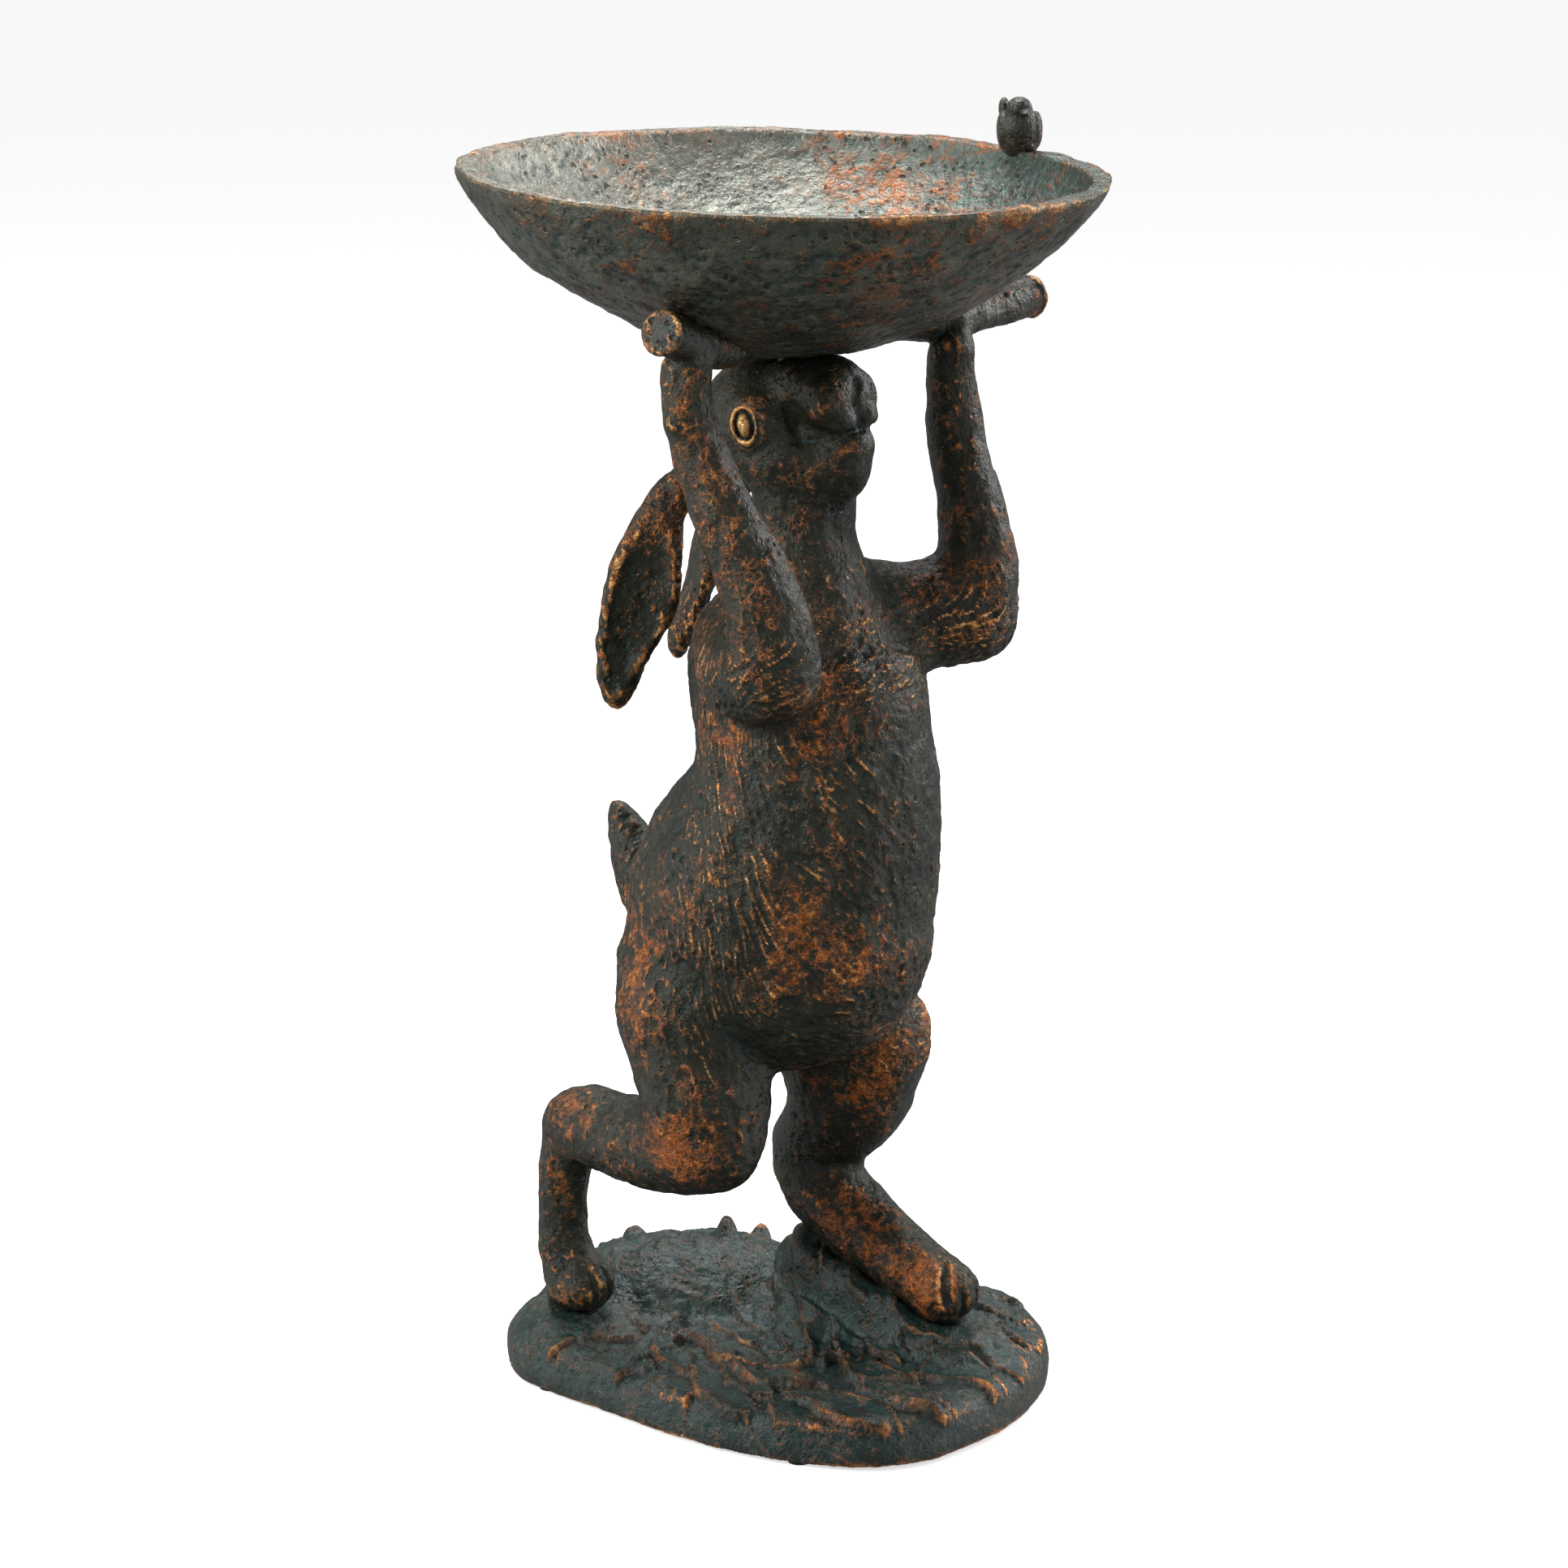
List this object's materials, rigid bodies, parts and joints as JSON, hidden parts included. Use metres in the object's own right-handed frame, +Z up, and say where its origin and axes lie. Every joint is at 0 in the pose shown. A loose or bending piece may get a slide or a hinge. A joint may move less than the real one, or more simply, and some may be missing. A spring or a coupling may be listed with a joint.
{
  "type": "bird bath",
  "caption": "Garden bird bath: a lop-eared rabbit walks over a grassy mound and carries a shallow round basin on its head and raised paws, with a small bird on the rim.",
  "frame": {"origin": "on the ground under the centre of the basin", "axes": "+Z up; -Y is the display side; the rabbit walks towards +X, turned 40 degrees towards -Y"},
  "size_m": [0.295, 0.295, 0.6138],
  "materials": {
    "patina_green": "cast resin with a satin bronze finish, dark green patina and rubbed copper edges",
    "patina_brown": "cast resin with a satin bronze finish, dark brown patina and rubbed copper highlights",
    "steel": "zinc plated steel",
    "felt": "black felt"
  },
  "bodies": {
    "root": {"basin": "patina_green", "bird": "patina_green", "right_branch": "patina_green", "left_branch": "patina_green", "base": "patina_green", "head": "patina_brown", "torso": "patina_brown", "right_arm": "patina_brown", "left_arm": "patina_brown", "right_leg": "patina_brown", "left_leg": "patina_brown", "right_ear": "patina_brown", "left_ear": "patina_brown", "tail": "patina_brown", "neck_dowel": "steel", "right_shoulder_dowel": "steel", "left_shoulder_dowel": "steel", "right_hip_dowel": "steel", "left_hip_dowel": "steel", "right_ear_dowel": "steel", "left_ear_dowel": "steel", "tail_dowel": "steel", "right_paw_dowel": "steel", "left_paw_dowel": "steel", "right_branch_dowel": "steel", "left_branch_dowel": "steel", "basin_dowel": "steel", "bird_dowel": "steel", "right_leg_rod": "steel", "left_leg_rod": "steel", "right_leg_washer": "steel", "left_leg_washer": "steel", "right_leg_nut": "steel", "left_leg_nut": "steel", "pad_1": "felt", "pad_2": "felt", "pad_3": "felt", "pad_4": "felt", "pad_5": "felt"}
  },
  "joints": []
}
